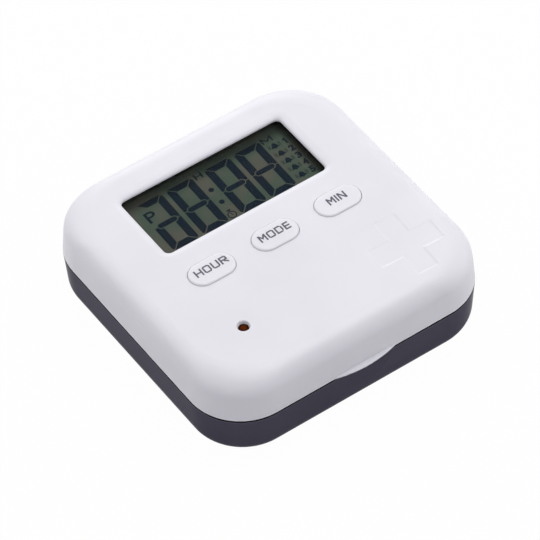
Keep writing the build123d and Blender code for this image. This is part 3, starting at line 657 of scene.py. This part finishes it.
def put_digit(digit, name, middle_x):
    """Moves a digit to its place on the display."""
    digit.location.x = middle_x * mm
    return finish_piece(digit, name, segment_ink, "lid")


def copy_of(piece):
    """A copy with a mesh of its own."""
    twin = piece.copy()
    twin.data = piece.data.copy()
    bpy.context.collection.objects.link(twin)
    return twin


# %% [markdown]
# Three of the digits have all seven segments. The first has none at its upper left, because the tens
# of a clock's hours never need it.

# %% Four digits
full_digit = seven_segments()
for name, middle_x in (("hour_ones", -8.36), ("minute_tens", 3.55), ("minute_ones", 12.9)):
    made = put_digit(copy_of(full_digit), f"digit_{name}", middle_x)
    print(made.name, "has", len(made.data.polygons), "faces")
bpy.data.objects.remove(full_digit)
put_digit(seven_segments(missing=[(-1, 1)]), "digit_hour_tens", -17.7)

# %% [markdown]
# ### Small signs on the display
# The colon's dots are thin discs. Most letters and numbers are text, which is quicker than drawing
# them. Each is turned into a mesh and fitted to the size that it has on the glass.

# %% Colon
dot_radius = 0.75
colon = join([disc(-2.36, 21.57, dot_radius), disc(-2.46, 16.57, dot_radius)])
finish_piece(colon, "display_colon", segment_ink, "lid")
print(colon.name, "has", len(colon.data.polygons), "faces")

# %% Letters and numbers
capital_share = 0.7  # a capital's height as a share of the text size


def display_text(name, words, middle_x, middle_y, width, height, weight=0.0):
    """Words on the display, their box in mm, and weight added to the strokes in mm."""
    bpy.ops.object.text_add(location=(0, 0, 0))
    text = bpy.context.object
    text.data.body = words
    text.data.size = height * mm / capital_share
    text.data.offset = weight * mm
    text.data.extrude = ink_height / 2
    text.data.resolution_u = 3
    bpy.ops.object.convert(target="MESH")
    piece = bpy.context.object
    xs = [v.co.x for v in piece.data.vertices]
    ys = [v.co.y for v in piece.data.vertices]
    stretch_x = width * mm / (max(xs) - min(xs))
    stretch_y = height * mm / (max(ys) - min(ys))
    piece.scale = (stretch_x, stretch_y, 1)
    piece.location = (
        middle_x * mm - (min(xs) + max(xs)) / 2 * stretch_x,
        middle_y * mm - (min(ys) + max(ys)) / 2 * stretch_y,
        ink_bottom + ink_height / 2,
    )
    return finish_piece(piece, name, segment_ink, "lid")


display_text("sign_p", "P", -20.05, 23.08, 2.95, 3.8, weight=0.04)
display_text("sign_h", "H", -2.4, 27.6, 2.3, 2.0, weight=0.03)
alarm_rows = [24.43, 21.3, 18.25, 15.2, 12.05]
number_x, number_width, number_height = 23.0, 1.55, 2.2
for number, y in enumerate(alarm_rows[1:], start=2):
    name = f"alarm_number_{number}"
    display_text(name, str(number), number_x, y, number_width, number_height, weight=0.14)
print("numbers at y =", alarm_rows, "mm")

# %% [markdown]
# Text would turn the number one and the wide M into blocks at this size. They are put together from
# straight strokes, each a bar from one point to another.

# %% The number one and the letter M
def stroke_between(start, end, thickness):
    """A bar that runs from one point to another. Points and thickness are in mm."""
    reach_x, reach_y = end[0] - start[0], end[1] - start[1]
    piece = bar(0, -thickness / 2, math.hypot(reach_x, reach_y), thickness / 2)
    piece.rotation_euler.z = math.atan2(reach_y, reach_x)
    piece.location = (start[0] * mm, start[1] * mm, 0)
    bpy.ops.object.transform_apply(location=True, rotation=True, scale=True)
    return piece


one_x, one_y = 23.1, alarm_rows[0]
one_low, one_high = one_y - number_height / 2, one_y + number_height / 2
half_thick, flag_thick = 0.24, 0.4
upright = bar(one_x - half_thick, one_low, one_x + half_thick, one_high)
flag = stroke_between((one_x - 0.65, one_y + 0.35), (one_x + 0.1, one_y + 0.93), flag_thick)
finish_piece(unite(upright, [flag]), "alarm_number_1", segment_ink, "lid")

m_left, m_middle, m_right = 17.75, 19.15, 20.55
m_low, m_dip, m_high, m_stroke = 26.5, 26.95, 28.55, 0.4
posts = [bar(x - m_stroke / 2, m_low, x + m_stroke / 2, m_high) for x in (m_left, m_right)]
m_top, m_bottom = m_high - m_stroke / 2, (m_middle, m_dip)
slants = [stroke_between((x, m_top), m_bottom, m_stroke) for x in (m_left, m_right)]
sign_m = finish_piece(unite(posts[0], [posts[1]] + slants), "sign_m", segment_ink, "lid")
print(sign_m.name, "has", len(sign_m.data.polygons), "faces")

# %% [markdown]
# ### Bells and the small clock
# A bell is a dome on a skirt, with a knob on top, a clapper under it and two short waves on each
# side. The bell's four shapes overlap, so a Boolean union makes one outline of them. The bell and
# its waves are modelled once and then copied down the column.

# %% One bell and its waves
bell_x = 19.7
wave_half_width, wave_radii, wave_lift = 0.1, (1.38, 1.8), 0.15
cut_in, cut_up = 0.45, 0.9  # direction of the cuts that end a wave
knob_rise, knob_radius = 1.0, 0.16
clapper_drop, clapper_radius = 0.73, 0.28


def bell(x, y):
    """A bell sign 2.3 mm wide: a dome, a skirt that widens to the rim, a knob and a clapper."""
    shoulder, rim, half_dome, half_rim = y + 0.25, y - 0.66, 0.72, 1.15
    slope = (shoulder - rim, half_rim - half_dome)
    flare = [((x + side * half_dome, shoulder), (side * slope[0], slope[1])) for side in (-1, 1)]
    skirt = bar(x - half_rim, rim, x + half_rim, shoulder, flare)
    dome = disc(x, shoulder, half_dome, sides=32)
    knob = disc(x, y + knob_rise, knob_radius, sides=12)
    clapper = disc(x, y - clapper_drop, clapper_radius, sides=16)
    return unite(skirt, [dome, knob, clapper])


def wave(x, y, side, radius):
    """A short arc beside a bell, cut from a thin ring."""
    rim = disc(x, y, radius + wave_half_width)
    ring = take_away(rim, disc(x, y, radius - wave_half_width, height=cutter_height))
    return trim(ring, [((x, y), (-side * cut_in, level * cut_up)) for level in (-1, 1)])


first_bell = bell(bell_x, 0)
first_waves = join([wave(bell_x, wave_lift, side, r) for side in (-1, 1) for r in wave_radii])

# %% Five bells
for number, y in enumerate(alarm_rows, start=1):
    for kind, first, ink in (("bell", first_bell, segment_ink), ("waves", first_waves, faint_ink)):
        piece = copy_of(first)
        piece.location.y = y * mm
        finish_piece(piece, f"alarm_{kind}_{number}", ink, "lid")
bpy.data.objects.remove(first_bell)
bpy.data.objects.remove(first_waves)
print("bells at y =", alarm_rows, "mm")

# %% [markdown]
# The small clock is a ring, two hands that meet in an L, and a crown on a short neck. The neck runs a
# little into the ring. All are one ink and one height, so that doesn't show, and a join is enough.

# %% Small clock
x, y = -2.84, 11.35  # the ring's centre
ring_outer, ring_inner = 1.26, 0.98
ring = take_away(disc(x, y, ring_outer, sides=32), disc(x, y, ring_inner, height=cutter_height))
hands = [bar(x - 0.1, y - 0.17, x + 0.1, y + 0.7), bar(x + 0.1, y - 0.17, x + 0.44, y + 0.01)]
crown = [bar(x - 0.58, y + 1.57, x + 0.58, y + 2.01), bar(x - 0.16, y + 1.2, x + 0.16, y + 1.57)]
clock = finish_piece(join([ring] + hands + crown), "sign_clock", segment_ink, "lid")
print(clock.name, "has", len(clock.data.polygons), "faces")

# %% [markdown]
# ## Button legends
# The three buttons say what they set, in plain capitals of one stroke width. A text object would
# bring in a font's own shapes, so each letter is put together from bars that meet edge to edge, like
# a letter made of sticks. The outer corners of the round letters are then cut off, at about 45
# degrees.

# %% Strokes and letters
letter_width, letter_gap, stroke = 2.1, 0.43, 0.43
legend_low, legend_high = -3.5, -1.05
legend_height = 0.012 * mm
valley_drop, leg_shift, leg_rise = 0.1, 0.1, 0.2  # the M's valley and the R's leg
slant_inset = 0.7 * stroke  # how far below the top and above the line the N's slant is centred
# Which corners of a letter are cut off, and how far in from the corner the middle of the cut is
round_corners = {
    "O": ("nw ne sw se", 0.2),
    "U": ("sw se", 0.2),
    "D": ("ne se", 0.3),
    "R": ("ne", 0.2),
}


def slant(start, end, bottom):
    """A stroke between two points, cut off upright at both of them."""
    (x0, y0), (x1, y1) = start, end
    length = math.hypot(x1 - x0, y1 - y0) + 2 * stroke
    piece = bar(-length / 2, -stroke / 2, length / 2, stroke / 2, (), bottom, legend_height)
    piece.rotation_euler.z = math.atan2(y1 - y0, x1 - x0)
    piece.location = ((x0 + x1) / 2 * mm, (y0 + y1) / 2 * mm, 0)
    bpy.ops.object.transform_apply(location=True, rotation=True, scale=True)
    side = 1 if x1 > x0 else -1
    return trim(piece, [(start, (-side, 0)), (end, (side, 0))])


def letter(capital, left, low, high, bottom):
    """One capital in a box that starts at left and goes from low to high, in mm."""
    right, middle, s = left + letter_width, (low + high) / 2, stroke
    left_post = (left, low, left + s, high)
    right_post = (right - s, low, right, high)
    top_bar = (left + s, high - s, right - s, high)
    bottom_bar = (left + s, low, right - s, low + s)
    middle_bar = (left + s, middle - s / 2, right - s, middle + s / 2)
    sticks = {
        "H": [left_post, right_post, middle_bar],
        "O": [left_post, right_post, top_bar, bottom_bar],
        "U": [left_post, right_post, bottom_bar],
        "D": [left_post, right_post, top_bar, bottom_bar],
        "E": [left_post, top_bar, bottom_bar, middle_bar],
        "R": [left_post, top_bar, middle_bar, (right - s, middle - s / 2, right, high)],
        "M": [left_post, right_post],
        "N": [left_post, right_post],
        "I": [left_post],
    }[capital]
    pieces = [bar(*stick, (), bottom, legend_height) for stick in sticks]
    centre = (left + right) / 2
    if capital == "M":
        for x in (left + s, right - s):
            pieces.append(slant((x, high - s), (centre, middle - valley_drop), bottom))
    if capital == "N":
        pieces.append(slant((left + s, high - slant_inset), (right - s, low + slant_inset), bottom))
    if capital == "R":
        leg = slant((centre - leg_shift, middle - s / 2), (right, low + leg_rise), bottom)
        pieces.append(trim(leg, [((0, middle - s / 2), (0, 1)), ((0, low), (0, -1))]))
    whole = unite(pieces[0], pieces[1:])
    corners, reach = round_corners.get(capital, ("", 0))
    cuts = []
    for corner in corners.split():
        up, out = (1 if corner[0] == "n" else -1), (1 if corner[1] == "e" else -1)
        x, y = (right if out > 0 else left), (high if up > 0 else low)
        cuts.append(((x - out * reach, y - up * reach), (out, up)))
    return trim(whole, cuts)


# %% [markdown]
# The legends are printed in a soft purple grey. Each word is joined into one piece that rides on its
# own button, and so it goes down with it.

# %% Legends
legend_ink = plastic("legend_ink", (0.105, 0.1, 0.135), 0.5, grain=0, drift=0.05)
for button, word, left in (
    ("hour_button", "HOUR", -23.55),
    ("mode_button", "MODE", -3.75),
    ("min_button", "MIN", 17.65),
):
    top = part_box(button)[1].z
    pieces = []
    for capital in word:
        pieces.append(letter(capital, left, legend_low, legend_high, top))
        left += letter_gap + (stroke if capital == "I" else letter_width)
    finish_piece(join(pieces), button.replace("button", "legend"), legend_ink, button)
    print(word, "at z =", round(top / mm, 2), "mm")

# %% [markdown]
# ## Seal
# A thin rubber strip stands on the base's rim and closes the gap under the lid. A profile could be
# swept round the case, but the strip is flat, so it starts as a plane. A bevel of its corner points
# rounds them, an extrusion makes a plate, and a smaller plate is cut out of its middle.

# %% A plate with round corners
corner_steps = 14


def round_plate(half_side, corner, bottom, height):
    """A square plate with round corners, its sizes in mm."""
    bpy.ops.mesh.primitive_plane_add(size=2 * half_side * mm, location=(0, 0, bottom * mm))
    plate = bpy.context.object
    bpy.ops.object.transform_apply(location=True, rotation=True, scale=True)
    bpy.ops.object.mode_set(mode="EDIT")
    bpy.ops.mesh.bevel(offset=corner * mm, segments=corner_steps, affect="VERTICES")
    bpy.ops.mesh.extrude_region_move(TRANSFORM_OT_translate={"value": (0, 0, height * mm)})
    bpy.ops.mesh.select_all(action="SELECT")
    bpy.ops.mesh.normals_make_consistent(inside=False)
    bpy.ops.object.mode_set(mode="OBJECT")
    return plate


# %% Seal
case_half, case_corner = 42.5, 15.5  # half the case's width, and its corner radius
outer_inset, seal_width, seal_sunk = 1.35, 0.6, 0.02
cut_below, cut_height = 1, 3  # the cutter starts below the seal and ends above it
inner_inset = outer_inset + seal_width
seal_bottom, seal_height = base_edge - seal_sunk, lid_edge - base_edge - seal_sunk
seal_rubber = plastic("seal_rubber", (0.02, 0.02, 0.024), 0.6)
outside = round_plate(case_half - outer_inset, case_corner - outer_inset, seal_bottom, seal_height)
cut_bottom = seal_bottom - cut_below
inside = round_plate(case_half - inner_inset, case_corner - inner_inset, cut_bottom, cut_height)
seal = finish_piece(take_away(outside, inside), "parting_seal", seal_rubber, "base")
seal_top = seal_bottom + seal_height
print(seal.name, "has", len(seal.data.vertices), "vertices and goes up to", round(seal_top, 2), "mm")
